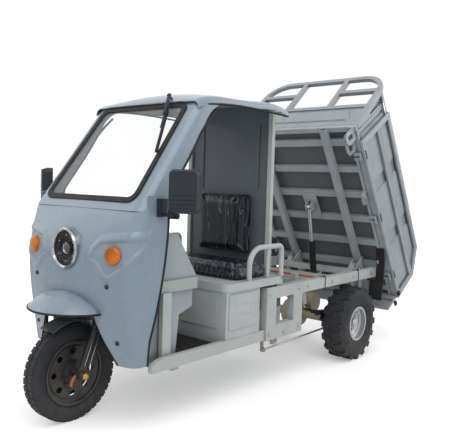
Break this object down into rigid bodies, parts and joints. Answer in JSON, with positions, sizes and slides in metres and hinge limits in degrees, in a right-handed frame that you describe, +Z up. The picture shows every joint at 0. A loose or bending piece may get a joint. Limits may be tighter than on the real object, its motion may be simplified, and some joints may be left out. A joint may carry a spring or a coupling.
{
  "type": "cargo tricycle",
  "caption": "Electric cargo tricycle with an open-sided cab, a raised tipping bed with drop sides and a lashing rack.",
  "frame": {"origin": "on the ground, below the middle of the vehicle's overall box with the bed raised", "axes": "+Z up, -Y is the direction of travel, +X is the vehicle's left"},
  "size_m": [1.3088, 3.3288, 2.1288],
  "materials": {
    "cab_paint": "satin metallic",
    "frame_paint": "gloss",
    "bed_paint": "satin",
    "wall_paint": "satin",
    "black_steel": "satin",
    "beige_steel": "satin",
    "bare_steel": "machined",
    "rim_silver": "satin",
    "tyre_rubber": "matte",
    "black_rubber": "matte",
    "clear_glass": "clear",
    "lamp_chrome": "polished",
    "lamp_black": "gloss",
    "amber_lens": "gloss",
    "red_lens": "gloss",
    "console_plastic": "fine grain",
    "black_plastic": "fine grain",
    "seat_vinyl": "satin",
    "battery_case": "gloss",
    "cable_sheath": "matte"
  },
  "bodies": {
    "vehicle": {"chassis_frame": "frame_paint", "hinge_pins": "bare_steel", "front_frame": "black_steel", "leaf_springs": "black_steel", "spring_clamps": "black_steel", "rear_axle": "black_steel", "rear_dampers": "bare_steel", "battery_pack": "battery_case", "front_fascia": "cab_paint", "nose_visor": "cab_paint", "windshield_glass": "clear_glass", "windshield_gasket": "black_rubber", "cab_roof": "cab_paint", "cab_rear_wall": "wall_paint", "cab_posts": "frame_paint", "cab_floor": "frame_paint", "floor_mat": "black_rubber", "side_sills": "frame_paint", "seat_box": "frame_paint", "seat_backrest": "seat_vinyl", "armrest_rails": "frame_paint", "front_console": "console_plastic", "headlight_ring": "lamp_chrome", "headlight_lens": "clear_glass", "headlight_bowl": "lamp_black", "indicator_lenses": "amber_lens", "mirror_brackets": "black_plastic", "wiring_loom": "cable_sheath"},
    "steering": {"steering_fork": "black_steel", "handlebar": "black_steel", "left_grip": "black_rubber"},
    "throttle": {"throttle_grip": "black_rubber"},
    "suspension": {"fork_sliders": "black_steel", "front_axle": "bare_steel", "front_brake_plate": "black_steel", "front_mudguard": "black_steel"},
    "front_wheel": {"front_rim": "black_steel", "front_tyre": "tyre_rubber"},
    "rear_wheel_left": {"rear_rim_left": "rim_silver", "rear_tyre_left": "tyre_rubber"},
    "rear_wheel_right": {"rear_rim_right": "rim_silver", "rear_tyre_right": "tyre_rubber"},
    "pedal": {"brake_pedal": "beige_steel"},
    "brake_cross_shaft": {"brake_shaft": "beige_steel"},
    "brake_pull_rods": {"brake_rods": "bare_steel"},
    "left_mirror": {"mirror_left": "black_plastic"},
    "right_mirror": {"mirror_right": "black_plastic"},
    "wiper": {"wiper_arm": "black_plastic"},
    "cushion": {"seat_cushion": "seat_vinyl"},
    "bed": {"bed_frame": "bed_paint", "bed_headboard": "bed_paint", "tail_lamps": "red_lens", "rear_mudguards": "black_rubber"},
    "side_left": {"bed_side_left": "bed_paint"},
    "side_right": {"bed_side_right": "bed_paint"},
    "left_latch": {"latch_left": "bare_steel"},
    "right_latch": {"latch_right": "bare_steel"},
    "tail_board": {"tailgate": "bed_paint"},
    "ram_tube": {"ram_barrel": "black_steel"},
    "ram_piston": {"ram_rod": "bare_steel"}
  },
  "joints": [
    {"name": "bed_tip", "type": "hinge", "parent": "vehicle", "child": "bed", "pos_m": [0, 1.12836, 0.682], "axis": [1, 0, 0], "range_deg": [0, 58.5]},
    {"name": "ram_swing", "type": "hinge", "parent": "vehicle", "child": "ram_tube", "pos_m": [0, 0.93936, 0.52], "axis": [1, 0, 0], "range_deg": [-0.1, 57.96]},
    {"name": "ram_stroke", "type": "slide", "parent": "ram_tube", "child": "ram_piston", "axis": [0, -0.1793, 0.9838], "range_m": [-0.2434, 0.0002]},
    {"name": "left_side_drop", "type": "hinge", "parent": "bed", "child": "side_left", "pos_m": [0.536, 0.92165, 1.01742], "axis": [0, 0.5225, -0.8526], "range_deg": [0, 90]},
    {"name": "right_side_drop", "type": "hinge", "parent": "bed", "child": "side_right", "pos_m": [-0.536, 0.92165, 1.01742], "axis": [0, -0.5225, 0.8526], "range_deg": [0, 90]},
    {"name": "left_latch_lift", "type": "hinge", "parent": "side_left", "child": "left_latch", "pos_m": [0.545, 0.95249, 1.84557], "axis": [-1, 0, 0], "range_deg": [0, 75]},
    {"name": "right_latch_lift", "type": "hinge", "parent": "side_right", "child": "right_latch", "pos_m": [-0.545, 0.95249, 1.84557], "axis": [-1, 0, 0], "range_deg": [0, 75]},
    {"name": "tailgate_drop", "type": "hinge", "parent": "bed", "child": "tail_board", "pos_m": [0, 1.37071, 0.37839], "axis": [-1, 0, 0], "range_deg": [0, 150]},
    {"name": "steer", "type": "hinge", "parent": "vehicle", "child": "steering", "pos_m": [0, -1.21453, 0.63884], "axis": [0, 0.3584, 0.9336], "range_deg": [-38, 38]},
    {"name": "throttle_twist", "type": "hinge", "parent": "steering", "child": "throttle", "pos_m": [-0.345, -1.00258, 1.07468], "axis": [-0.9818, 0.19, 0], "range_deg": [0, 70], "stiffness_Nm_per_rad": 0.4, "springref_deg": -11.46},
    {"name": "fork_travel", "type": "slide", "parent": "steering", "child": "suspension", "axis": [0, 0.3584, 0.9336], "range_m": [0, 0.055], "stiffness_N_per_m": 8000, "springref_m": -0.1},
    {"name": "front_wheel_spin", "type": "hinge", "parent": "suspension", "child": "front_wheel", "pos_m": [0, -1.41064, 0.25353], "axis": [1, 0, 0], "continuous": true},
    {"name": "left_wheel_spin", "type": "hinge", "parent": "vehicle", "child": "rear_wheel_left", "pos_m": [0.478, 0.67936, 0.264], "axis": [1, 0, 0], "continuous": true},
    {"name": "right_wheel_spin", "type": "hinge", "parent": "vehicle", "child": "rear_wheel_right", "pos_m": [-0.478, 0.67936, 0.264], "axis": [1, 0, 0], "continuous": true},
    {"name": "pedal_press", "type": "hinge", "parent": "vehicle", "child": "pedal", "pos_m": [-0.17, -0.84064, 0.372], "axis": [1, 0, 0], "range_deg": [0, 18], "stiffness_Nm_per_rad": 25, "springref_deg": -8.59},
    {"name": "brake_shaft_turn", "type": "hinge", "parent": "vehicle", "child": "brake_cross_shaft", "pos_m": [0, -0.22564, 0.286], "axis": [1, 0, 0], "range_deg": [-9.1, 0.1]},
    {"name": "brake_pull", "type": "slide", "parent": "vehicle", "child": "brake_pull_rods", "axis": [0, 1, 0], "range_m": [-0.01214, 0.0002]},
    {"name": "left_mirror_fold", "type": "hinge", "parent": "vehicle", "child": "left_mirror", "pos_m": [0.528, -1.22464, 1.094], "axis": [0, 0, 1], "range_deg": [-30, 55]},
    {"name": "right_mirror_fold", "type": "hinge", "parent": "vehicle", "child": "right_mirror", "pos_m": [-0.528, -1.22464, 1.094], "axis": [0, 0, -1], "range_deg": [-30, 55]},
    {"name": "wiper_sweep", "type": "hinge", "parent": "vehicle", "child": "wiper", "pos_m": [0.198, -0.91636, 1.70629], "axis": [0, 0.8027, -0.5964], "range_deg": [0, 72]},
    {"name": "cushion_lift", "type": "hinge", "parent": "vehicle", "child": "cushion", "pos_m": [0, -0.26214, 0.696], "axis": [-1, 0, 0], "range_deg": [0, 30]}
  ],
  "couplings": [
    {"joint": "ram_swing", "follows": "bed_tip", "ratio": 0.98728},
    {"joint": "ram_stroke", "follows": "bed_tip", "m_per_rad": -0.23819},
    {"joint": "brake_shaft_turn", "follows": "pedal_press", "ratio": -0.5},
    {"joint": "brake_pull", "follows": "pedal_press", "m_per_rad": -0.038}
  ]
}
